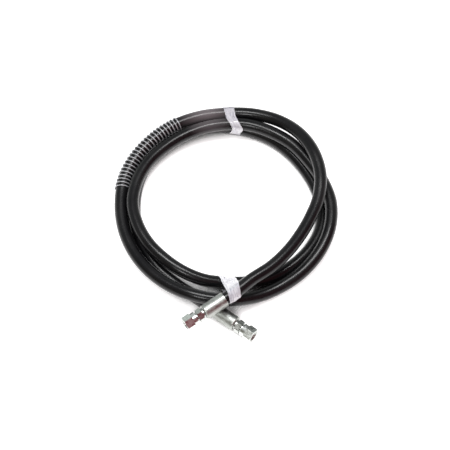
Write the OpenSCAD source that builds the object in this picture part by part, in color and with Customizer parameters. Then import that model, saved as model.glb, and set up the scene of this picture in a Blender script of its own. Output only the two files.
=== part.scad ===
// Coiled two-wire hydraulic hose assembly with a swivel fitting crimped on each end,
// a spring guard over one stretch and two film tie straps round the coil.
// The frame: +Z up, the coil lies flat, and the origin is the middle of the footprint.

/* [Hose] */
// Outside diameter of the hose cover
hose_d = 20.4; // [20:0.1:20.6]
// Outside diameter of the outer wire braid
braid_outer_d = 18.1; // [17.8:0.1:18.4]
// Outside diameter of the inner wire braid
braid_inner_d = 16.4; // [16:0.1:16.8]
// Bore of the inner tube where the stem's tail fills it
inner_tube_bore = 13.2; // [13:0.1:13.6]
// Number of flats round the hose's swept tube
hose_sides = 10; // [8:1:12]

/* [Fittings] */
// Outside diameter of the crimped ferrule
ferrule_d = 23.8; // [23:0.1:24]
// Length of the ferrule
ferrule_len = 39; // [38:0.5:40]
// Across flats of the stem's hexagon
stem_hex_af = 19; // [18:0.5:20]
// Bore through the stem
stem_bore_d = 9.6; // [8:0.2:10]
// Across flats of the swivel nut
nut_hex_af = 22.2; // [22:0.1:23]
// Bore of the nut's internal thread, 3/4-16 tapping size
thread_bore_d = 17.5; // [17.2:0.1:17.8]
// Diameter of the stem where the nut turns on it
swivel_d = 14.5; // [14:0.1:14.8]
// Radial running clearance between nut and stem
swivel_gap = 0.05; // [0.03:0.01:0.08]
// Diameter of the wire that holds the nut on the stem
retaining_wire_d = 1.7; // [1.5:0.1:1.8]

/* [Spring guard] */
// Number of turns in the guard
guard_turns = 24; // [16:1:26]
// Diameter of the guard's wire
guard_wire_d = 2; // [1.6:0.1:2]
// Turn angle of the hose at which the guard starts
guard_from = 118.5; // [110:0.5:125]
// Turn angle of the hose at which the guard ends
guard_to = 171; // [160:0.5:171]

/* [Tie straps] */
// Width of the folded film strap
strap_w = 16; // [12:1:18]
// Thickness of the folded film
strap_t = 0.4; // [0.3:0.05:0.5]
// Slack between the film and the hose
strap_slack = 0.3; // [0.25:0.05:0.4]

/* [Hidden] */

// The footprint's middle, seen from the coil's middle
footprint_middle = [-1.3, -28.4];

// The hose lies on the film of the straps, this far above the floor
film_lift = strap_t + strap_slack;

// Places where the hose enters each ferrule, from the coil's middle, and the way each
// fitting points: heading about Z, and dip below the level
entry_a = [-2.5, -180, 51];
heading_a = 214;
dip_a = 5;
entry_b = [-16, -182, 13];
heading_b = -37;
dip_b = 0;

// The hose's centreline: turn angle, distance from the coil's middle, height.
// Turn 1 lies outside, turn 2 on top of turn 3, and turn 3 on the floor.
route = [
    [-75, 152, 52], [-60, 142, 50], [-40, 135, 48], [-20, 136, 47], [0, 147, 48.5],
    [15, 156, 52], [30, 162.5, 53], [45, 168.5, 46.5], [60, 172, 37], [75, 170.5, 31.5],
    [90, 167.2, 29.5], [105, 166.5, 30.5], [120, 167, 31], [135, 167.8, 30.2],
    [150, 170.5, 26.4], [165, 172, 21.5], [180, 170, 19], [210, 168.5, 20],
    [235, 170.5, 27.5], [255, 173, 34.5], [265, 172.5, 34], [275, 170.5, 26],
    [285, 166, 16], [300, 164, 11.5], [315, 167.5, 17.5], [330, 170, 23.6],
    [345, 170.5, 28], [360, 167.5, 30.5], [375, 160, 31], [390, 154, 31], [405, 152.5, 31],
    [420, 150, 31], [435, 149, 31], [450, 146.2, 30.5], [465, 144.6, 29.5],
    [480, 143.6, 29.3], [495, 144.3, 29.6], [510, 147.3, 30.5], [525, 149.4, 31],
    [540, 150.5, 31], [560, 146, 31], [590, 139.5, 29.8], [600, 139, 27], [612, 137.5, 21],
    [630, 133.5, 12.5], [645, 136.5, 10.4], [660, 142, 10.2], [675, 146.5, 10.2],
    [690, 151.5, 10.2], [705, 155.5, 10.2], [720, 154.5, 10.2], [735, 150, 10.2],
    [750, 147, 10.2], [765, 147, 10.2], [780, 148.8, 10.2], [795, 150.5, 10.2],
    [810, 153.5, 10.2], [825, 156.2, 10.2], [840, 156.8, 10.2], [855, 156, 10.2],
    [870, 153.5, 10.2], [885, 150.5, 10.2], [900, 148.5, 10.2], [930, 149.5, 10.2],
    [945, 152.5, 10.2]];
ring_step = 15;

// Distances back from each entry, and heights, of the straight stretches' points
lead_a_points = [[0, 51], [20, 52.7]];
lead_b_points = [[75, 10.2], [50, 10.8], [25, 12.2], [0, 13]];

// Stations along a fitting's own axis, from the mouth where the hose enters
layer_len = 33.5;
tail_start = 3;
lock_collar = 34.2;
lip_start = 36.2;
hex_start = 41.5;
hex_end = 50.5;
nut_start = 52.5;
nut_collar_len = 7;
nut_wall_end = 60.5;
head_start = 61;
head_end = 64.5;
thread_start = 64.8;
nut_end = 73.5;
wire_station = 56.5;

round_fn = 64;
strap_reach = 60;
strap_slices = 6;
strap_sides = 48;
hex_fn = 6;
hose_r = hose_d / 2;
wire_r = retaining_wire_d / 2;
crimped_cover_r = hose_r - 0.2;
separator_r = braid_inner_d / 2 + 0.25;
tube_r = braid_inner_d / 2 - 0.5;
eps = 0.01;

// ---------------------------------------------------------------- the hose's centreline

function pointing(heading, dip) =
    [cos(heading) * cos(dip), sin(heading) * cos(dip), -sin(dip)];

way_a = pointing(heading_a, dip_a);
way_b = pointing(heading_b, dip_b);

function route_slope(i, column) =
    let (low = max(i - 1, 0), high = min(i + 1, len(route) - 1))
    (route[high][column] - route[low][column]) / (route[high][0] - route[low][0]);

// Smooth cubic through the route's rows
function route_value(angle, column) =
    let (i = max([for (k = [0:len(route) - 2]) if (route[k][0] <= angle) k]),
        span = route[i + 1][0] - route[i][0],
        t = (angle - route[i][0]) / span)
    (2 * t^3 - 3 * t^2 + 1) * route[i][column]
    + (t^3 - 2 * t^2 + t) * span * route_slope(i, column)
    + (3 * t^2 - 2 * t^3) * route[i + 1][column]
    + (t^3 - t^2) * span * route_slope(i + 1, column);

function coil_point(angle) =
    let (r = route_value(angle, 1))
    [r * cos(angle), r * sin(angle), route_value(angle, 2)];

function lead_point(entry, way, row) =
    [entry.x - way.x * row[0], entry.y - way.y * row[0], row[1]];

centreline = [for (p = concat(
    [for (row = lead_a_points) lead_point(entry_a, way_a, row)],
    [for (angle = [route[0][0]:ring_step:route[len(route) - 1][0]]) coil_point(angle)],
    [for (row = lead_b_points) lead_point(entry_b, way_b, row)]))
    p + [0, 0, film_lift]];
ring_count = len(centreline);

// Number of the ring at a turn angle, with its fraction
function ring_at(angle) = len(lead_a_points) + (angle - route[0][0]) / ring_step;

function unit(v) = v / norm(v);

function along(i) =
    i == 0 ? -way_a :
    i == ring_count - 1 ? way_b :
    unit(centreline[i + 1] - centreline[i - 1]);

// A point beside ring i of the centreline: distance out, and angle round the hose
function beside(i, distance, angle) =
    let (t = along(i), side = unit(cross([0, 0, 1], t)), up = cross(t, side))
    centreline[i] + distance * (cos(angle) * side + sin(angle) * up);

// The same between two rings
function beside_between(f, distance, angle) =
    let (i = min(floor(f), ring_count - 2), part = f - i)
    (1 - part) * beside(i, distance, angle) + part * beside(i + 1, distance, angle);

// ---------------------------------------------------------------- shapes

// A solid through equal rings of points
module skin(rings) {
    sides = len(rings[0]);
    count = len(rings);
    points = [for (ring = rings) each ring];
    walls = [for (i = [0:count - 2], k = [0:sides - 1])
        let (a = i * sides + k, b = i * sides + (k + 1) % sides)
        each [[a, b, b + sides], [a, b + sides, a + sides]]];
    first = [for (k = [0:sides - 1]) sides - 1 - k];
    last = [for (k = [0:sides - 1]) (count - 1) * sides + k];
    polyhedron(points, concat([first], walls, [last]));
}

// Hose between two rings of the centreline
module hose_stretch(from, to) {
    color([0.07, 0.07, 0.08])
        translate([-footprint_middle.x, -footprint_middle.y, 0])
            skin([for (i = [from:to])
                [for (k = [0:hose_sides - 1]) beside(i, hose_r, -k * 360 / hose_sides)]]);
}

// Puts a fitting, drawn along +Z from the ferrule's mouth, at one end of the hose
module at_end(entry, heading, dip) {
    translate([entry.x - footprint_middle.x, entry.y - footprint_middle.y,
        entry.z + film_lift])
        rotate([0, 90 + dip, heading])
            children();
}

module at_end_a() {
    at_end(entry_a, heading_a, dip_a) children();
}

module at_end_b() {
    at_end(entry_b, heading_b, dip_b) children();
}

// A round body from points of radius and station
module turned(points) {
    rotate_extrude($fn = round_fn) polygon(points);
}

module tube(inner_r, outer_r, from, to) {
    turned([[inner_r, from], [outer_r, from], [outer_r, to], [inner_r, to]]);
}

module hexagon(across_flats, from, to) {
    translate([0, 0, from])
        cylinder(h = to - from, d = across_flats / cos(30), $fn = hex_fn);
}

// ---------------------------------------------------------------- hose

joint_1 = ring_at(-45);
joint_2 = ring_at(270);
joint_3 = ring_at(630);
joint_4 = ring_at(930);

module hose_lead_a() {
    hose_stretch(0, joint_1);
}

module hose_turn_1() {
    hose_stretch(joint_1, joint_2);
}

module hose_turn_2() {
    hose_stretch(joint_2, joint_3);
}

module hose_turn_3() {
    hose_stretch(joint_3, joint_4);
}

module hose_lead_b() {
    hose_stretch(joint_4, ring_count - 1);
}

// One layer of the hose where it lies inside the two ferrules
module layer_ends(inner_r, outer_r) {
    at_end_a() tube(inner_r, outer_r, 0, layer_len);
    at_end_b() tube(inner_r, outer_r, 0, layer_len);
}

module inner_tube() {
    color([0.12, 0.12, 0.12]) layer_ends(inner_tube_bore / 2, tube_r);
}

module wire_braid_inner() {
    color([0.72, 0.66, 0.5]) layer_ends(tube_r, braid_inner_d / 2);
}

module rubber_separator() {
    color([0.16, 0.15, 0.15]) layer_ends(braid_inner_d / 2, separator_r);
}

module wire_braid_outer() {
    color([0.72, 0.66, 0.5]) layer_ends(separator_r, braid_outer_d / 2);
}

module outer_cover() {
    color([0.07, 0.07, 0.08]) layer_ends(braid_outer_d / 2, crimped_cover_r);
}

// ---------------------------------------------------------------- fittings

// Crimped shell: a flared mouth, a rounded front shoulder and a lip in the stem's groove
module ferrule() {
    r = ferrule_d / 2;
    shoulder = 3;
    lip_r = 7.6;
    mouth_r = hose_r + 0.4;
    mouth_depth = 2;
    color([0.78, 0.79, 0.8])
        difference() {
            rotate_extrude($fn = round_fn)
                union() {
                    square([r, ferrule_len - shoulder]);
                    square([r - shoulder, ferrule_len]);
                    translate([r - shoulder, ferrule_len - shoulder])
                        circle(shoulder, $fn = round_fn);
                }
            translate([0, 0, -eps])
                cylinder(h = lip_start + eps, r = crimped_cover_r, $fn = round_fn);
            translate([0, 0, -eps])
                cylinder(h = mouth_depth, r = mouth_r, $fn = round_fn);
            cylinder(h = ferrule_len + 1, r = lip_r, $fn = round_fn);
        }
}

// Barbed tail, locking groove, hexagon, swivel neck and 37 degree flared seat
module stem() {
    bore_r = stem_bore_d / 2;
    tail_r = inner_tube_bore / 2;
    groove_r = 7.5;
    neck_r = 7.8;
    swivel_r = swivel_d / 2;
    head_r = 8.3;
    barb_pitch = 5;
    barbs = 6;
    barb_depth = 0.5;
    collar_r = 8.6;
    seat_depth = (head_r - 0.5 - bore_r) / tan(37);
    color([0.75, 0.76, 0.77])
        difference() {
            union() {
                turned(concat(
                    [[0, tail_start], [bore_r + 0.6, tail_start]],
                    [for (i = [0:barbs - 1]) let (s = tail_start + i * barb_pitch)
                        each [[tail_r - barb_depth, s + 0.5], [tail_r, s + barb_pitch - 1],
                            [tail_r, s + barb_pitch - 0.3]]],
                    [[tail_r, lock_collar - 0.4], [collar_r, lock_collar], [collar_r, lip_start - 0.1],
                        [groove_r, lip_start - 0.1], [groove_r, ferrule_len + 0.1],
                        [neck_r, ferrule_len + 0.1], [neck_r, hex_start + eps],
                        [0, hex_start + eps]]));
                intersection() {
                    hexagon(stem_hex_af, hex_start, hex_end);
                    chamfered(stem_hex_af, hex_start, hex_end, 1);
                }
                turned([[0, hex_end - eps], [swivel_r, hex_end - eps], [swivel_r, head_start],
                    [head_r, head_start + 0.6], [head_r, head_end], [0, head_end]]);
            }
            translate([0, 0, tail_start - 1])
                cylinder(h = head_end, d = stem_bore_d, $fn = round_fn);
            turned([[0, head_end - seat_depth], [bore_r, head_end - seat_depth],
                [head_r - 0.5, head_end], [head_r - 0.5, head_end + 1], [0, head_end + 1]]);
            retaining_groove(wire_r);
        }
}

// A round bar whose ends take the corners off a hexagon
module chamfered(across_flats, from, to, depth) {
    corner_r = across_flats / 2 / cos(30);
    flat_r = across_flats / 2 - 0.2;
    turned([[0, from], [flat_r, from], [corner_r + eps, from + depth],
        [corner_r + eps, to - depth], [flat_r, to], [0, to]]);
}

module retaining_groove(r) {
    translate([0, 0, wire_station])
        rotate_extrude($fn = round_fn)
            translate([swivel_d / 2, 0])
                circle(r, $fn = 24);
}

module retaining_wire() {
    color([0.6, 0.6, 0.62]) retaining_groove(wire_r);
}

// Hexagon with a round collar behind it, turning freely on the stem
module swivel_nut() {
    collar_r = 10.4;
    hex_from = nut_start + nut_collar_len;
    mouth_chamfer = 0.7;
    relief_r = 9.4;
    wire_gap = 0.1;
    color([0.8, 0.81, 0.82])
        difference() {
            union() {
                turned([[0, nut_start], [collar_r - 0.8, nut_start], [collar_r, nut_start + 0.8],
                    [collar_r, hex_from + eps], [0, hex_from + eps]]);
                intersection() {
                    hexagon(nut_hex_af, hex_from, nut_end);
                    chamfered(nut_hex_af, hex_from, nut_end, 1.2);
                }
            }
            translate([0, 0, nut_start - 1])
                cylinder(h = nut_end, r = swivel_d / 2 + swivel_gap, $fn = round_fn);
            translate([0, 0, nut_wall_end])
                cylinder(h = thread_start - nut_wall_end, r = relief_r, $fn = round_fn);
            translate([0, 0, thread_start - eps])
                cylinder(h = nut_end, d = thread_bore_d, $fn = round_fn);
            turned([[0, nut_end - mouth_chamfer], [thread_bore_d / 2, nut_end - mouth_chamfer],
                [thread_bore_d / 2 + mouth_chamfer, nut_end], [thread_bore_d / 2 + mouth_chamfer,
                nut_end + 1], [0, nut_end + 1]]);
            retaining_groove(wire_r + wire_gap);
        }
}

module ferrule_a() {
    at_end_a() ferrule();
}

module stem_a() {
    at_end_a() stem();
}

module retaining_wire_a() {
    at_end_a() retaining_wire();
}

module swivel_nut_a() {
    at_end_a() swivel_nut();
}

module ferrule_b() {
    at_end_b() ferrule();
}

module stem_b() {
    at_end_b() stem();
}

module retaining_wire_b() {
    at_end_b() retaining_wire();
}

module swivel_nut_b() {
    at_end_b() swivel_nut();
}

// ---------------------------------------------------------------- spring guard

// Helix of round wire wound on the hose, with flat facets standing clear of it
module spring_guard() {
    steps = 12;
    wire_sides = 5;
    clearance = 0.15;
    r = guard_wire_d / 2;
    helix_r = (hose_r + clearance + r) / cos(180 / steps);
    first = ring_at(guard_from);
    last = ring_at(guard_to);
    count = guard_turns * steps;
    color([0.66, 0.67, 0.7])
        translate([-footprint_middle.x, -footprint_middle.y, 0])
            skin([for (i = [0:count])
                let (f = first + (last - first) * i / count, turn = i * 360 / steps,
                    centre = beside_between(f, 0, 0), path = beside_between(f, helix_r, turn),
                    out = unit(path - centre), forward = along(floor(f)))
                [for (k = [0:wire_sides - 1]) let (a = k * 360 / wire_sides)
                    path + r * (cos(a) * out + sin(a) * forward)]]);
}

// ---------------------------------------------------------------- tie straps

// The upright plane square to a strap's width, moved along the width
function plane_origin(middle, heading, offset) =
    [middle.x + offset * sin(heading), middle.y - offset * cos(heading)];

// Where the hose's strands cross an upright plane: distance along it, height, and how
// much wider than the hose the slanting section is
function strands_across(origin, heading) =
    let (ahead = [cos(heading), sin(heading)], normal = [-sin(heading), cos(heading)])
    [for (i = [0:ring_count - 2])
        let (p = centreline[i], q = centreline[i + 1],
            dp = (p.x - origin.x) * normal.x + (p.y - origin.y) * normal.y,
            dq = (q.x - origin.x) * normal.x + (q.y - origin.y) * normal.y,
            c = p + (q - p) * dp / (dp - dq),
            u = (c.x - origin.x) * ahead.x + (c.y - origin.y) * ahead.y,
            widening = norm(q - p) / abs(dp - dq))
        if (dp * dq <= 0 && abs(dp - dq) > 1 && abs(u) < strap_reach) [u, c.z, widening]];

// How far a strand's section reaches in a direction, measured from its own middle
function section_reach(strand, r, angle) =
    norm([r * strand[2] * cos(angle), r * sin(angle)]);

// Point of the tight loop round all the strands, facing a direction
function loop_point(strands, r, angle) =
    let (reaches = [for (s = strands)
            s.x * cos(angle) + s.y * sin(angle) + section_reach(s, r, angle)],
        k = [for (i = [0:len(strands) - 1]) if (reaches[i] == max(reaches)) i][0],
        s = strands[k], reach = section_reach(s, r, angle))
    [s.x + pow(r * s[2], 2) * cos(angle) / reach, s.y + r * r * sin(angle) / reach];

// Solid inside a film at radius r of each strand, from one edge of the strap to the other
module loop_solid(middle, heading, edge, r) {
    skin([for (i = [0:strap_slices])
        let (offset = edge * (1 - 2 * i / strap_slices),
            origin = plane_origin(middle, heading, offset),
            strands = strands_across(origin, heading))
        [for (k = [0:strap_sides - 1])
            let (p = loop_point(strands, r, k * 360 / strap_sides))
            [origin.x + p.x * cos(heading), origin.y + p.x * sin(heading), p.y]]]);
}

// Film pulled tight round the strands
module tie_strap(middle, heading, width) {
    edge = width / 2;
    color([0.92, 0.92, 0.97])
        translate([-footprint_middle.x, -footprint_middle.y, 0])
            difference() {
                loop_solid(middle, heading, edge, hose_r + strap_slack + strap_t);
                loop_solid(middle, heading, edge + 1, hose_r + strap_slack);
            }
}

module tie_strap_top() {
    tie_strap([6, 160], 101, strap_w);
}

module tie_strap_bottom() {
    tie_strap([6.5, -150], -76, strap_w + 4);
}

hose_lead_a();
hose_turn_1();
hose_turn_2();
hose_turn_3();
hose_lead_b();
inner_tube();
wire_braid_inner();
rubber_separator();
wire_braid_outer();
outer_cover();
ferrule_a();
stem_a();
retaining_wire_a();
swivel_nut_a();
ferrule_b();
stem_b();
retaining_wire_b();
swivel_nut_b();
spring_guard();
tie_strap_top();
tie_strap_bottom();
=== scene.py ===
"""Looks of the coiled hydraulic hose assembly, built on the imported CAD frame."""

import math

import bpy
from mathutils import Matrix, Vector, noise


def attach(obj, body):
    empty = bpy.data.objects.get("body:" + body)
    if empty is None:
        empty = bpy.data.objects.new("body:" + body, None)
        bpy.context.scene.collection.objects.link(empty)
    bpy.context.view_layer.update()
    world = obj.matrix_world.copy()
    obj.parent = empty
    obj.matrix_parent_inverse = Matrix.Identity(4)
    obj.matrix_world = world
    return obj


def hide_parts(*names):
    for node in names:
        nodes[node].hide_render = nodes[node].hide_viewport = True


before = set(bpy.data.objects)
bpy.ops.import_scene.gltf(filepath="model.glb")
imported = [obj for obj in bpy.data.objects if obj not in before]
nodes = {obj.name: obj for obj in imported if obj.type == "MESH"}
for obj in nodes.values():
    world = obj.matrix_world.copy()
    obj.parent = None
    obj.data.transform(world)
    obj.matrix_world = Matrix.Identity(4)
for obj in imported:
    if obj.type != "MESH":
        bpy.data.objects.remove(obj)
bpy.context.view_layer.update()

MM = 0.001

# ---------------------------------------------------------------- sizes shared with part.scad, mm

HOSE_R = 10.2
FOOTPRINT_MIDDLE = (-1.3, -28.4)
FILM_LIFT = 0.7
# How far the film's inside lies from the middle of each strand
FILM_R = 10.5
ENTRY_A, HEADING_A, DIP_A = (-2.5, -180, 51), 214, 5
ENTRY_B, HEADING_B, DIP_B = (-16, -182, 13), -37, 0

# Turn angle, distance from the coil's middle, height
ROUTE = [
    (-75, 152, 52), (-60, 142, 50), (-40, 135, 48), (-20, 136, 47), (0, 147, 48.5),
    (15, 156, 52), (30, 162.5, 53), (45, 168.5, 46.5), (60, 172, 37), (75, 170.5, 31.5),
    (90, 167.2, 29.5), (105, 166.5, 30.5), (120, 167, 31), (135, 167.8, 30.2),
    (150, 170.5, 26.4), (165, 172, 21.5), (180, 170, 19), (210, 168.5, 20), (235, 170.5, 27.5),
    (255, 173, 34.5), (265, 172.5, 34), (275, 170.5, 26), (285, 166, 16), (300, 164, 11.5),
    (315, 167.5, 17.5), (330, 170, 23.6), (345, 170.5, 28), (360, 167.5, 30.5), (375, 160, 31),
    (390, 154, 31), (405, 152.5, 31), (420, 150, 31), (435, 149, 31), (450, 146.2, 30.5),
    (465, 144.6, 29.5), (480, 143.6, 29.3), (495, 144.3, 29.6), (510, 147.3, 30.5),
    (525, 149.4, 31), (540, 150.5, 31), (560, 146, 31), (590, 139.5, 29.8), (600, 139, 27),
    (612, 137.5, 21), (630, 133.5, 12.5), (645, 136.5, 10.4), (660, 142, 10.2),
    (675, 146.5, 10.2), (690, 151.5, 10.2), (705, 155.5, 10.2), (720, 154.5, 10.2),
    (735, 150, 10.2), (750, 147, 10.2), (765, 147, 10.2), (780, 148.8, 10.2),
    (795, 150.5, 10.2), (810, 153.5, 10.2), (825, 156.2, 10.2), (840, 156.8, 10.2),
    (855, 156, 10.2), (870, 153.5, 10.2), (885, 150.5, 10.2), (900, 148.5, 10.2),
    (930, 149.5, 10.2), (945, 152.5, 10.2),
]
LEAD_A = [(0, 51), (20, 52.7)]
LEAD_B = [(75, 10.2), (50, 10.8), (25, 12.2), (0, 13)]
RING_STEP = 15

# ---------------------------------------------------------------- camera and stage


def make_camera():
    """The photograph's viewing angle: 62 degrees above the floor, from the front.
    The coil's middle is the target, and it sits a little above and right of centre."""
    elevation = math.radians(62)
    distance = 2.6
    target = Vector((0.0013, 0.0284, 0.0157))
    below, left = 0.029, 0.0021
    back = Vector((0, -math.cos(elevation), math.sin(elevation)))
    up = Vector((0, math.sin(elevation), math.cos(elevation)))
    data = bpy.data.cameras.new("camera")
    data.lens = 128.95
    data.sensor_width = 36
    data.clip_end = 50
    camera = bpy.data.objects.new("camera", data)
    bpy.context.scene.collection.objects.link(camera)
    camera.location = target + back * distance
    aim = target - up * below - Vector((1, 0, 0)) * left
    camera.rotation_mode = "QUATERNION"
    camera.rotation_quaternion = (aim - camera.location).to_track_quat("-Z", "Y")
    bpy.context.scene.camera = camera


make_camera()

# ---------------------------------------------------------------- the hose's centreline


def row_frame(p):
    """From millimetres about the coil's middle to metres in the row frame."""
    return Vector((
        (p[0] - FOOTPRINT_MIDDLE[0]) * MM,
        (p[1] - FOOTPRINT_MIDDLE[1]) * MM,
        (p[2] + FILM_LIFT) * MM,
    ))


def cubic(rows, x):
    """Smooth cubic through rows of x and values."""
    i = max(k for k in range(len(rows) - 1) if rows[k][0] <= x or k == 0)
    span = rows[i + 1][0] - rows[i][0]
    t = (x - rows[i][0]) / span

    def slope(k, column):
        low, high = rows[max(k - 1, 0)], rows[min(k + 1, len(rows) - 1)]
        return (high[column] - low[column]) / (high[0] - low[0])

    return [
        (2 * t**3 - 3 * t**2 + 1) * rows[i][c] + (t**3 - 2 * t**2 + t) * span * slope(i, c)
        + (3 * t**2 - 2 * t**3) * rows[i + 1][c] + (t**3 - t**2) * span * slope(i + 1, c)
        for c in range(1, len(rows[0]))
    ]


def coil_point(angle):
    radius, height = cubic(ROUTE, angle)
    a = math.radians(angle)
    return (radius * math.cos(a), radius * math.sin(a), height)


def lead_point(entry, heading, row):
    h = math.radians(heading)
    return (entry[0] - math.cos(h) * row[0], entry[1] - math.sin(h) * row[0], row[1])


def centreline():
    """Key points in order, each with its turn angle, or the same run on for the leads."""
    first, last, step = -98, 950, 8
    keys = [(first + step * i, lead_point(ENTRY_A, HEADING_A, row))
            for i, row in enumerate(LEAD_A)]
    angle = ROUTE[0][0]
    while angle <= ROUTE[-1][0]:
        keys.append((angle, coil_point(angle)))
        angle += RING_STEP
    keys += [(last + step * i, lead_point(ENTRY_B, HEADING_B, row))
             for i, row in enumerate(LEAD_B)]
    return keys


def smooth_path(keys, step):
    """Points every step metres on the cubic through the keys, with their turn angles."""
    chords = [0.0]
    for (_, p), (_, q) in zip(keys, keys[1:]):
        chords.append(chords[-1] + (Vector(q) - Vector(p)).length * MM)
    rows = [(s, *row_frame(p), angle) for s, (angle, p) in zip(chords, keys)]
    count = round(chords[-1] / step)
    samples = [cubic(rows, chords[-1] * i / count) for i in range(count + 1)]
    return [Vector(s[:3]) for s in samples], [s[3] for s in samples]


PATH_STEP = 0.003
path, path_angles = smooth_path(centreline(), PATH_STEP)


def along(points, i):
    return (points[min(i + 1, len(points) - 1)] - points[max(i - 1, 0)]).normalized()


def cross_frame(tangent):
    """Directions to the side and up, square to the hose."""
    side = Vector((0, 0, 1)).cross(tangent).normalized()
    return side, tangent.cross(side)


# ---------------------------------------------------------------- mesh and material helpers


def new_mesh(name, verts, faces, body, lay, sharp=35):
    """A smooth mesh piece. lay gives each vertex its along, round and third coordinate."""
    mesh = bpy.data.meshes.new(name)
    mesh.from_pydata([tuple(v) for v in verts], [], faces)
    mesh.validate()
    layer = mesh.attributes.new("lay", "FLOAT_VECTOR", "POINT")
    layer.data.foreach_set("vector", [x for v in lay for x in v])
    mesh.shade_smooth()
    mesh.set_sharp_from_angle(angle=math.radians(sharp))
    obj = bpy.data.objects.new(name, mesh)
    bpy.context.scene.collection.objects.link(obj)
    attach(obj, body)
    return obj


def grid_faces(rings, sides, closed_round=True, close_ends=False):
    """Quads between rings of equal vertex counts."""
    faces = []
    for i in range(rings - 1):
        for k in range(sides if closed_round else sides - 1):
            a, b = i * sides + k, i * sides + (k + 1) % sides
            faces.append((a, b, b + sides, a + sides))
    if close_ends:
        faces.append(tuple(reversed(range(sides))))
        faces.append(tuple(range((rings - 1) * sides, rings * sides)))
    return faces


class Shader:
    """A material's node tree, with short calls for the nodes used here."""

    def __init__(self, name, **sockets):
        self.material = bpy.data.materials.new(name)
        self.material.use_nodes = True
        self.tree = self.material.node_tree
        self.bsdf = self.tree.nodes["Principled BSDF"]
        for socket, value in sockets.items():
            self.bsdf.inputs[socket.replace("_", " ")].default_value = value

    def node(self, kind, settings=None, **inputs):
        n = self.tree.nodes.new(kind)
        for key, value in (settings or {}).items():
            setattr(n, key, value)
        for key, value in inputs.items():
            socket = n.inputs[key.replace("_", " ")]
            if hasattr(value, "is_output"):
                self.tree.links.new(value, socket)
            else:
                socket.default_value = value
        return n

    def link(self, output, socket):
        self.tree.links.new(output, self.bsdf.inputs[socket])

    def lay(self, scale):
        """The piece's own along and round coordinates, scaled."""
        source = self.node("ShaderNodeAttribute", {"attribute_name": "lay"})
        return self.scaled(source.outputs["Vector"], scale)

    def place(self, scale):
        """Object coordinates, scaled."""
        source = self.node("ShaderNodeTexCoord")
        return self.scaled(source.outputs["Object"], scale)

    def scaled(self, vector, scale):
        return self.node("ShaderNodeMapping", Vector=vector, Scale=scale).outputs["Vector"]

    def noise(self, vector, scale=1.0, detail=3.0, roughness=0.5):
        return self.node("ShaderNodeTexNoise", Vector=vector, Scale=scale, Detail=detail,
                         Roughness=roughness).outputs["Fac"]

    def ramp(self, value, stops):
        """A colour ramp; each stop is a position and a grey level or a colour."""
        n = self.node("ShaderNodeValToRGB", Fac=value)
        elements = n.color_ramp.elements
        while len(elements) < len(stops):
            elements.new(0.5)
        for element, (position, colour) in zip(elements, stops):
            element.position = position
            grey = not hasattr(colour, "__len__")
            element.color = (colour, colour, colour, 1) if grey else (*colour, 1)
        return n.outputs["Color"]

    def bump(self, height, distance, strength=1.0, below=None):
        extra = {"Normal": below} if below else {}
        return self.node("ShaderNodeBump", Height=height, Distance=distance,
                         Strength=strength, **extra).outputs["Normal"]


# ---------------------------------------------------------------- materials


# Middle of the painted sheen: a pale stretch of the hose between the guard and the upper strap
PAINTED_SHEEN_PLACE = (-0.033, 0.197, 0.035)


def rubber_cover():
    """Black wrapped rubber: lengthwise streaks from the wrapping, fine grain, and a pale patch of
    painted sheen in its colour.
    """
    s = Shader("rubber cover", Specular_IOR_Level=0.3, IOR=1.5)
    streaks = s.noise(s.lay((14, 1500, 1)), 1.0, 3.0, 0.6)
    grain = s.noise(s.place((900, 900, 900)), 1.0, 3.0, 0.6)
    patches = s.noise(s.place((22, 22, 22)), 1.0, 4.0, 0.6)
    black = s.ramp(patches, [(0.3, (0.004, 0.004, 0.0048)), (0.75, (0.009, 0.0088, 0.0094))])
    # the painted sheen, a lighter base colour, fades out with the distance from its middle
    away = s.node("ShaderNodeVectorMath", {"operation": "DISTANCE"})
    s.tree.links.new(s.place((1, 1, 1)), away.inputs[0])
    away.inputs[1].default_value = PAINTED_SHEEN_PLACE
    painted_sheen = s.ramp(away.outputs["Value"], [(0.01, (0.13, 0.115, 0.122)), (0.05, (0, 0, 0))])
    with_painted_sheen = s.node("ShaderNodeMix", {"data_type": "RGBA", "blend_type": "ADD"})
    with_painted_sheen.inputs["Factor"].default_value = 1
    s.tree.links.new(black, with_painted_sheen.inputs[6])
    s.tree.links.new(painted_sheen, with_painted_sheen.inputs[7])
    s.link(with_painted_sheen.outputs[2], "Base Color")
    s.link(s.ramp(patches, [(0.3, 0.2), (0.7, 0.3)]), "Roughness")
    normal = s.bump(streaks, 0.00005, 0.5)
    s.link(s.bump(grain, 0.00003, 0.35, normal), "Normal")
    return s.material


def plated_zinc(name, colour, rough, turned=0.35):
    """Bright zinc plating over turned steel, with faint turning rings and dulled patches."""
    s = Shader(name, Metallic=1.0)
    rings = s.noise(s.lay((3200, 30, 1)), 1.0, 2.0, 0.5)
    cloud = s.noise(s.place((160, 160, 160)), 1.0, 5.0, 0.6)
    dark = tuple(c * 0.82 for c in colour)
    s.link(s.ramp(cloud, [(0.35, dark), (0.65, colour)]), "Base Color")
    s.link(s.ramp(cloud, [(0.3, rough * 0.8), (0.7, rough * 1.25)]), "Roughness")
    s.link(s.bump(rings, 0.00002, turned), "Normal")
    return s.material


def spring_wire():
    """Drawn steel wire, plated, with lengthwise draw marks."""
    s = Shader("guard wire", Metallic=0.5)
    marks = s.noise(s.lay((40, 2600, 1)), 1.0, 2.0, 0.5)
    cloud = s.noise(s.place((260, 260, 260)), 1.0, 3.0, 0.6)
    s.link(s.ramp(cloud, [(0.35, (0.38, 0.39, 0.41)), (0.65, (0.56, 0.57, 0.59))]), "Base Color")
    s.link(s.ramp(cloud, [(0.3, 0.4), (0.7, 0.52)]), "Roughness")
    s.link(s.bump(marks, 0.00002, 0.4), "Normal")
    return s.material


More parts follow.
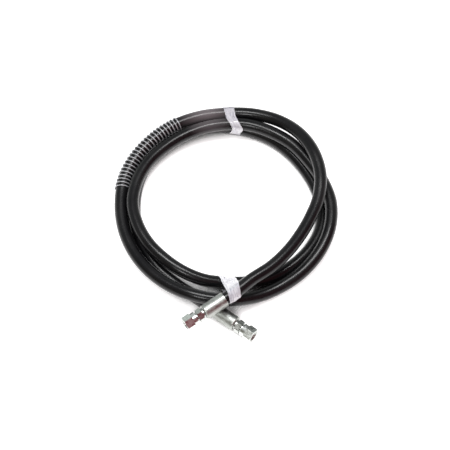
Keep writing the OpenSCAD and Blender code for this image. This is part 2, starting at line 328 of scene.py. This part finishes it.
def film():
    """Thin translucent stretch film, gathered into a strap, with sharp small creases."""
    s = Shader("strap film", IOR=1.45, Transmission_Weight=0.12, Subsurface_Weight=0.25,
               Subsurface_Radius=(0.002, 0.002, 0.0022), Coat_Weight=0.3, Coat_Roughness=0.12)
    creases = s.noise(s.lay((60, 700, 1)), 1.0, 4.0, 0.65)
    crumple = s.noise(s.place((190, 190, 190)), 1.0, 4.0, 0.6)
    # the film's colour is darker in the crease troughs, a painted shade that follows the crease
    # bumps
    s.link(s.ramp(creases, [(0.35, (0.5, 0.49, 0.56)), (0.6, (0.76, 0.76, 0.8))]), "Base Color")
    s.link(s.ramp(crumple, [(0.3, 0.2), (0.7, 0.42)]), "Roughness")
    s.link(s.ramp(creases, [(0.25, 0.74), (0.65, 0.97)]), "Alpha")
    normal = s.bump(creases, 0.0004, 0.5)
    s.link(s.bump(crumple, 0.0005, 0.4, normal), "Normal")
    return s.material


def tube_rubber():
    s = Shader("tube rubber", IOR=1.5)
    grain = s.noise(s.place((700, 700, 700)), 1.0, 4.0, 0.6)
    s.link(s.ramp(grain, [(0.3, (0.014, 0.013, 0.013)), (0.7, (0.03, 0.028, 0.027))]),
           "Base Color")
    s.link(s.ramp(grain, [(0.3, 0.5), (0.7, 0.68)]), "Roughness")
    s.link(s.bump(grain, 0.00005, 0.5), "Normal")
    return s.material


def braid_wire():
    """Brass-coated wires, woven: fine bands in two crossing directions."""
    s = Shader("braid wire", Metallic=1.0)
    waves = [s.node("ShaderNodeTexWave", {"wave_type": "BANDS", "bands_direction": way},
                    Vector=s.place((1, 1, 1)), Scale=420, Distortion=0.6).outputs["Fac"]
             for way in ("DIAGONAL", "Z")]
    woven = s.node("ShaderNodeMath", {"operation": "MAXIMUM"})
    s.tree.links.new(waves[0], woven.inputs[0])
    s.tree.links.new(waves[1], woven.inputs[1])
    height = woven.outputs["Value"]
    s.link(s.ramp(height, [(0.3, (0.2, 0.16, 0.1)), (0.8, (0.72, 0.62, 0.42))]), "Base Color")
    s.link(s.ramp(height, [(0.3, 0.5), (0.8, 0.28)]), "Roughness")
    s.link(s.bump(height, 0.0002, 0.7), "Normal")
    return s.material


COVER = rubber_cover()
FERRULE_ZINC = plated_zinc("ferrule zinc", (0.46, 0.48, 0.455), 0.42)
STEM_ZINC = plated_zinc("stem zinc", (0.58, 0.6, 0.58), 0.28)
NUT_ZINC = plated_zinc("nut zinc", (0.76, 0.79, 0.765), 0.28, 0.25)
GUARD_WIRE = spring_wire()
FILM = film()
TUBE = tube_rubber()
BRAID = braid_wire()

# ---------------------------------------------------------------- hose


def make_hose():
    sides = 40
    verts, lay = [], []
    length = 0.0
    for i, p in enumerate(path):
        side, up = cross_frame(along(path, i))
        if i:
            length += (p - path[i - 1]).length
        for k in range(sides):
            a = -2 * math.pi * k / sides
            verts.append(p + HOSE_R * MM * (math.cos(a) * side + math.sin(a) * up))
            # the round coordinate runs out and back, so that it has no seam
            lay.append((length, HOSE_R * MM * abs((k / sides * 2) % 2 - 1) * math.pi, 0))
    hose = new_mesh("hose", verts, grid_faces(len(path), sides, close_ends=True),
                    "hose", lay)
    hose.data.materials.append(COVER)
    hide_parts("hose_lead_a", "hose_turn_1", "hose_turn_2", "hose_turn_3",
                "hose_lead_b")
    return hose


hose = make_hose()

# ---------------------------------------------------------------- fittings


def fitting_matrix(entry, heading, dip):
    """Places a fitting, drawn in mm along +Z from the ferrule's mouth."""
    return (Matrix.Translation(row_frame(entry))
            @ Matrix.Rotation(math.radians(heading), 4, "Z")
            @ Matrix.Rotation(math.radians(90 + dip), 4, "Y")
            @ Matrix.Scale(MM, 4))


PLACE_A = fitting_matrix(ENTRY_A, HEADING_A, DIP_A)
PLACE_B = fitting_matrix(ENTRY_B, HEADING_B, DIP_B)


def round_ring(radius, station):
    return lambda a: (radius, station)


def hex_radius(a, across_flats, corner=0.35):
    """Radius of a hexagon with its corners rounded off; corners at 0, 60 and so on."""
    off = abs((math.degrees(a) % 60) - 30)
    sharp = across_flats / 2 / math.cos(math.radians(off))
    cap = across_flats / 2 / math.cos(math.radians(30)) - corner * 0.155 * 2
    return min(sharp, cap)


def hex_ring(across_flats, station, face, toward):
    """Ring where a hexagon's flats meet the chamfer that starts at a flat face.
    face is the face's radius; toward is +1 or -1, the way into the hexagon."""
    def at(a):
        r = hex_radius(a, across_flats)
        return (r, station + toward * (r - face) * 0.5)
    return at


def crimp_ring(radius, station, depth):
    """Ring of a ferrule pressed by eight jaws, which leave low ridges between them."""
    def at(a):
        off = abs((math.degrees(a) % 45) - 22.5) - 22.5
        return (radius - depth * (1 - math.exp(-((off / 2.2) ** 2))), station)
    return at


def ring_piece(name, place, rings, body, material, steps=144, sharp=38):
    """A piece of closed rings in order round its section, the last joined to the first."""
    verts, lay = [], []
    for at in rings + rings[:1]:
        for k in range(steps):
            a = 2 * math.pi * k / steps
            r, station = at(a)
            verts.append(place @ Vector((r * math.cos(a), r * math.sin(a), station)))
            lay.append((station * MM, r * a * MM, r * MM))
    count = len(rings)
    faces = grid_faces(count + 1, steps)
    faces = [tuple(v % (count * steps) for v in f) for f in faces]
    obj = new_mesh(name, verts[:count * steps], faces, body, lay[:count * steps], sharp)
    obj.data.materials.append(material)
    return obj


def ferrule_rings():
    outer, bore, lip = 11.9, 10.0, 7.6
    rings = [round_ring(10.6, 0), round_ring(10.8, 0), round_ring(outer - 0.25, 0),
             round_ring(outer, 0.25), round_ring(outer, 3.2)]
    rings += [crimp_ring(outer - 0.05, s, 0.1) for s in (4, 12, 20, 28, 33)]
    rings += [round_ring(outer, 34), round_ring(outer, 36)]
    for i in range(1, 7):
        a = math.radians(15 * i)
        rings.append(round_ring(outer - 3 + 3 * math.cos(a), 36 + 3 * math.sin(a)))
    rings += [round_ring(lip + 0.2, 39), round_ring(lip, 38.8), round_ring(lip, 36.2),
              round_ring(bore, 36.2), round_ring(bore, 2), round_ring(10.6, 2)]
    return rings


def stem_rings():
    tail, bore, neck, swivel, head = 6.6, 4.8, 7.8, 7.25, 8.3
    rings = [round_ring(bore, 3), round_ring(bore + 0.6, 3)]
    for i in range(6):
        s = 3 + 5 * i
        rings += [round_ring(tail - 0.5, s + 0.5), round_ring(tail, s + 4),
                  round_ring(tail, s + 4.7)]
    rings += [round_ring(tail, 33.8), round_ring(8.6, 34.2), round_ring(8.6, 36.1),
              round_ring(7.5, 36.1), round_ring(7.5, 39.1), round_ring(neck, 39.1),
              round_ring(neck, 41.5), round_ring(9.1, 41.5),
              hex_ring(19, 41.5, 9.1, 1), hex_ring(19, 50.5, 9.1, -1), round_ring(9.1, 50.5),
              round_ring(swivel, 50.5), round_ring(swivel, 55.6), round_ring(swivel - 1.6, 56),
              round_ring(swivel - 1.6, 57), round_ring(swivel, 57.4),
              round_ring(swivel, 61), round_ring(head, 61.6), round_ring(head, 64.3),
              round_ring(head - 0.2, 64.5), round_ring(head - 0.5, 64.5),
              round_ring(bore, 60.6)]
    return rings


def nut_rings():
    bore, flats, minor, major = 7.3, 22.2, 8.8, 9.5
    thread_first, thread_last, mouth = 65.2, 73.0, 73.3
    rings = [round_ring(bore, 52.7), round_ring(bore + 0.2, 52.5), round_ring(9.6, 52.5),
             round_ring(10.15, 52.7), round_ring(10.4, 53.3), round_ring(10.4, 59.2),
             round_ring(10.55, 59.5), round_ring(10.9, 59.5),
             hex_ring(flats, 59.5, 10.9, 1), hex_ring(flats, 73.5, 10.9, -1),
             round_ring(10.9, 73.5), round_ring(9.75, 73.5), round_ring(9.45, mouth)]
    # the internal thread, sixteen turns to the inch
    pitch = 25.4 / 16
    steps_per_pitch = 8

    def thread(station):
        def at(a):
            turn = (station / pitch - a / (2 * math.pi)) % 1
            depth = min(1, max(0, 2.4 * abs(turn - 0.5) - 0.1))
            run_out = min(1, (mouth - station) / pitch)
            return (minor + (major - minor) * (depth * run_out + 1 - run_out), station)
        return at

    station = thread_last
    while station > thread_first:
        rings.append(thread(station))
        station -= pitch / steps_per_pitch
    rings += [round_ring(9.4, 64.8), round_ring(9.4, 60.5), round_ring(bore, 60.5),
              round_ring(bore, 57.5), round_ring(bore + 0.9, 57), round_ring(bore + 0.9, 56),
              round_ring(bore, 55.5)]
    return rings


def make_fitting(end, place):
    """Ferrule and stem ride on the hose, the nut on its own body."""
    ferrule = ring_piece(f"crimped_ferrule_{end}", place, ferrule_rings(), "hose",
                         FERRULE_ZINC)
    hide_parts(f"ferrule_{end}")
    stem = ring_piece(f"barbed_stem_{end}", place, stem_rings(), "hose",
                      STEM_ZINC)
    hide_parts(f"stem_{end}")
    nut = ring_piece(f"threaded_nut_{end}", place, nut_rings(), f"nut_{end}",
                     NUT_ZINC, sharp=32)
    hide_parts(f"swivel_nut_{end}")
    return [ferrule, stem, nut]


make_fitting("a", PLACE_A)
fitting_b = make_fitting("b", PLACE_B)

# ---------------------------------------------------------------- spring guard


def make_guard():
    turns, wire_r, steps, wire_sides = 24, 1.0, 40, 10
    clearance, bunching, spare = 0.12, 0.006, 3
    helix_r = HOSE_R + clearance + wire_r
    first, last = 118.5, 171.0
    rows = [(a, *p, 0) for a, p in zip(path_angles, path)]
    low = max(i for i, a in enumerate(path_angles) if a < first - spare)
    high = min(i for i, a in enumerate(path_angles) if a > last + spare)
    rows = rows[low:high]

    def centre(angle):
        return Vector(cubic(rows, angle)[:3])

    count = turns * steps
    line, outs = [], []
    for i in range(count + 1):
        # the end turns are wound a little closer
        f = i / count
        f -= bunching * math.sin(2 * math.pi * f)
        angle = first + (last - first) * f
        c = centre(angle)
        t = (centre(angle + 0.2) - centre(angle - 0.2)).normalized()
        side, up = cross_frame(t)
        a = 2 * math.pi * i / steps
        out = math.cos(a) * side + math.sin(a) * up
        line.append(c + helix_r * MM * out)
        outs.append(out)
    verts, lay = [], []
    length = 0.0
    for i, p in enumerate(line):
        t = along(line, i)
        across = t.cross(outs[i]).normalized()
        if i:
            length += (p - line[i - 1]).length
        for k in range(wire_sides):
            a = 2 * math.pi * k / wire_sides
            verts.append(p + wire_r * MM * (math.cos(a) * outs[i] + math.sin(a) * across))
            lay.append((length, a * wire_r * MM, 0))
    guard = new_mesh("guard_coil", verts, grid_faces(len(line), wire_sides, close_ends=True),
                     "hose", lay, 60)
    guard.data.materials.append(GUARD_WIRE)
    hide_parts("spring_guard")


make_guard()

# ---------------------------------------------------------------- film straps


def strands_across(origin, heading, reach=0.06):
    """Where the hose crosses an upright plane: distance along it, height, widening."""
    h = math.radians(heading)
    ahead, normal = Vector((math.cos(h), math.sin(h))), Vector((-math.sin(h), math.cos(h)))
    found = []
    for p, q in zip(path, path[1:]):
        dp = (p.xy - origin).dot(normal)
        dq = (q.xy - origin).dot(normal)
        if dp * dq <= 0 and dp != dq:
            c = p + (q - p) * dp / (dp - dq)
            u = (c.xy - origin).dot(ahead)
            if abs(u) < reach:
                found.append((u, c.z, (q - p).length / abs(dp - dq)))
    return found


def loop_outline(strands, r, count):
    """Even points round the tight loop about the strands' sections, and its length."""
    raw = []
    for i in range(720):
        a = math.radians(i / 2)
        cos, sin = math.cos(a), math.sin(a)

        def reach(s):
            return math.hypot(r * s[2] * cos, r * sin)

        s = max(strands, key=lambda s: s[0] * cos + s[1] * sin + reach(s))
        raw.append(Vector((s[0] + (r * s[2]) ** 2 * cos / reach(s),
                           s[1] + r * r * sin / reach(s))))
    lengths = [0.0]
    for p, q in zip(raw, raw[1:] + raw[:1]):
        lengths.append(lengths[-1] + (q - p).length)
    raw.append(raw[0])
    outline, j = [], 0
    for i in range(count):
        s = lengths[-1] * i / count
        while lengths[j + 1] < s:
            j += 1
        t = (s - lengths[j]) / max(lengths[j + 1] - lengths[j], 1e-9)
        outline.append(raw[j].lerp(raw[j + 1], t))
    return outline, lengths[-1]


def clear_of_hose(point, near):
    """The point, moved out to where the film touches the hose if it is inside."""
    for _ in range(3):
        i, centre = min(near, key=lambda row: (row[1] - point).length_squared)
        tangent = along(path, i)
        off = point - centre
        off -= tangent * off.dot(tangent)
        if off.length >= FILM_R * MM:
            break
        point = point + off.normalized() * (FILM_R * MM - off.length)
    return point


# Where the film begins round the loop, and the share of the loop that overlaps
STRAP_START = 0.9
STRAP_TAIL = 0.2


def make_strap(name, node, middle, heading, seed, half_widths, lean,
               passed_by=(0, 0)):
    """Film wound once round the strands, its free end lying over its beginning.
    half_widths are in mm, at the heading's start and at its end; lean shifts the start.
    passed_by is the range of heights of a strand that the loop goes past, not round."""
    h = math.radians(heading)
    ahead = Vector((math.cos(h), math.sin(h)))
    width_way = Vector((math.sin(h), -math.cos(h)))
    middle = row_frame((*middle, 0)).xy
    count, across, reach, slice_step = 260, 34, 24, 2
    near_enough = 0.08
    snug, overlap_rise, end_lift = 0.00012, 0.0004, 0.0022
    pleat_height, fine_height, pressed_height = 0.0011, 0.0004, 0.0002
    slices = [middle + width_way * (w * MM) for w in range(-reach, reach + 1, slice_step)]
    loops = []
    for origin in slices:
        strands = [s for s in strands_across(origin, heading)
                   if not passed_by[0] < s[1] < passed_by[1]]
        loops.append(loop_outline(strands, FILM_R * MM, count))
    near_path = [(i, p) for i, p in enumerate(path)
                 if (p.xy - middle).length < near_enough]
    centre, total = loops[reach // slice_step]
    lows, highs = min(p.x for p in centre), max(p.x for p in centre)
    rows = round(count * (1 + STRAP_TAIL))
    verts, lay = [], []
    for i in range(rows + 1):
        k = (i + round(STRAP_START * count)) % count
        s = i / count
        out = (centre[(k + 1) % count] - centre[k - 1]).normalized()
        out = Vector((out.y, -out.x))
        onward = (centre[k].x - lows) / (highs - lows)
        # the film's end climbs over its beginning, and its last third stands up
        base = snug + overlap_rise * min(1, max(0, (s - 0.9) / 0.1))
        lift = end_lift * max(0, (s - 1 - STRAP_TAIL * 0.7) / (STRAP_TAIL * 0.3)) ** 2
        half = half_widths[0] + (half_widths[1] - half_widths[0]) * onward
        half *= 1 + 0.1 * noise.noise(Vector((s * 9, seed, 0)))
        drift = lean * max(0, 1 - onward * 2.2) ** 1.5 + noise.noise(Vector((s * 5, seed + 7, 0)))
        for j in range(across + 1):
            w = 2 * j / across - 1
            pleat = abs(noise.noise(Vector((s * 7, w * 3.2 + seed, 3.1))))
            fine = abs(noise.noise(Vector((s * 26, w * 7, seed))))
            raise_by = base + lift + pleat_height * pleat + fine_height * fine
            # pressed flat where it lies under the strands
            if out.y < -0.3:
                raise_by = min(raise_by, base + pressed_height)
            at = w * half + drift + 0.6 * noise.noise(Vector((s * 40, w, seed + 2)))
            f = min(max((at + reach) / slice_step, 0), len(slices) - 1.001)
            p = loops[int(f)][0][k].lerp(loops[int(f) + 1][0][k], f % 1) + out * raise_by
            plan = middle + width_way * (at * MM) + ahead * p.x
            point = clear_of_hose(Vector((plan.x, plan.y, p.y)), near_path)
            point.z = max(point.z, 0.00005)
            verts.append(point)
            lay.append((s * total, w * half * MM, 0))
    strap = new_mesh(name, verts, grid_faces(rows + 1, across + 1, closed_round=False),
                     "hose", lay, 180)
    strap.data.materials.append(FILM)
    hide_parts(node)
    return strap


make_strap("film_strap_top", "tie_strap_top", (6, 160), 101, 2.3, (8, 8), 7)
make_strap("film_strap_bottom", "tie_strap_bottom", (6.5, -150), -76, 5.9, (13, 9), 0,
           passed_by=(0.022, 0.042))

# ---------------------------------------------------------------- materials of the CAD nodes


def dress(name, material):
    obj = nodes[name]
    obj.data.materials.clear()
    obj.data.materials.append(material)


for layer in ("inner_tube", "rubber_separator"):
    dress(layer, TUBE)
for layer in ("wire_braid_inner", "wire_braid_outer"):
    dress(layer, BRAID)
dress("outer_cover", TUBE)
for end in "ab":
    dress(f"retaining_wire_{end}", STEM_ZINC)

# ---------------------------------------------------------------- floor and light


def make_floor():
    size = 12
    mesh = bpy.data.meshes.new("floor")
    corners = [(-size, -size, 0), (size, -size, 0), (size, size, 0), (-size, size, 0)]
    mesh.from_pydata(corners, [], [(0, 1, 2, 3)])
    floor = bpy.data.objects.new("floor", mesh)
    bpy.context.scene.collection.objects.link(floor)
    s = Shader("floor", Roughness=0.9, Emission_Color=(1, 1, 1, 1))
    # the floor glows evenly; in the narrow gaps under the coil its colour and glow are darkened
    # by ambient occlusion, a painted shade
    painted_shade_openness = s.node("ShaderNodeAmbientOcclusion", {"samples": 12}, Distance=0.05).outputs["AO"]
    s.link(s.ramp(painted_shade_openness, [(0.28, 0.02), (0.42, 0.9)]), "Base Color")
    s.link(s.ramp(painted_shade_openness, [(0.28, 0.0), (0.42, 0.75)]), "Emission Strength")
    mesh.materials.append(s.material)


def softbox(name, place, size, power):
    data = bpy.data.lights.new(name, "AREA")
    data.shape = "RECTANGLE"
    data.size, data.size_y = size
    data.energy = power
    light = bpy.data.objects.new(name, data)
    bpy.context.scene.collection.objects.link(light)
    light.location = place
    light.rotation_mode = "QUATERNION"
    light.rotation_quaternion = (Vector((0, 0, 0)) - Vector(place)).to_track_quat("-Z", "Y")


ROOM_HORIZON = (0.68, 0.74, 0.7)
ROOM_ABOVE = (0.38, 0.39, 0.4)
# Direction, where the patch starts and is full as a cosine, colour
ROOM_PATCHES = [
    ((0.72, -0.6, 0.33), 0.55, 0.74, (0.22, 0.045, 0.055)),
    ((-0.75, -0.54, 0.37), 0.72, 0.88, (0.2, 0.185, 0.15)),
]


def make_world():
    """A pale room, brighter at the horizon, with dark warm things standing in it."""
    world = bpy.data.worlds.new("room")
    bpy.context.scene.world = world
    world.use_nodes = True
    tree = world.node_tree
    background = tree.nodes["Background"]
    coord = tree.nodes.new("ShaderNodeTexCoord")
    split = tree.nodes.new("ShaderNodeSeparateXYZ")
    tree.links.new(coord.outputs["Generated"], split.inputs[0])

    def ramp(value, stops):
        n = tree.nodes.new("ShaderNodeValToRGB")
        tree.links.new(value, n.inputs["Fac"])
        for element, (position, colour) in zip(n.color_ramp.elements, stops):
            element.position = position
            element.color = (*colour, 1)
        return n.outputs["Color"]

    room = ramp(split.outputs["Z"], [(0.08, ROOM_HORIZON), (0.6, ROOM_ABOVE)])
    for direction, low, high, colour in ROOM_PATCHES:
        facing = tree.nodes.new("ShaderNodeVectorMath")
        facing.operation = "DOT_PRODUCT"
        facing.inputs[1].default_value = direction
        tree.links.new(coord.outputs["Generated"], facing.inputs[0])
        near = ramp(facing.outputs["Value"], [(low, (0, 0, 0)), (high, (1, 1, 1))])
        mix = tree.nodes.new("ShaderNodeMix")
        mix.data_type = "RGBA"
        tree.links.new(near, mix.inputs["Factor"])
        tree.links.new(room, mix.inputs[6])
        mix.inputs[7].default_value = (*colour, 1)
        room = mix.outputs[2]
    tree.links.new(room, background.inputs["Color"])


make_floor()
make_world()
softbox("overhead", (0.0, 0.3, 1.9), (1.3, 0.35), 30)
softbox("front", (-0.5, -1.2, 1.6), (0.5, 0.25), 9)
bpy.context.scene.view_settings.view_transform = "Standard"
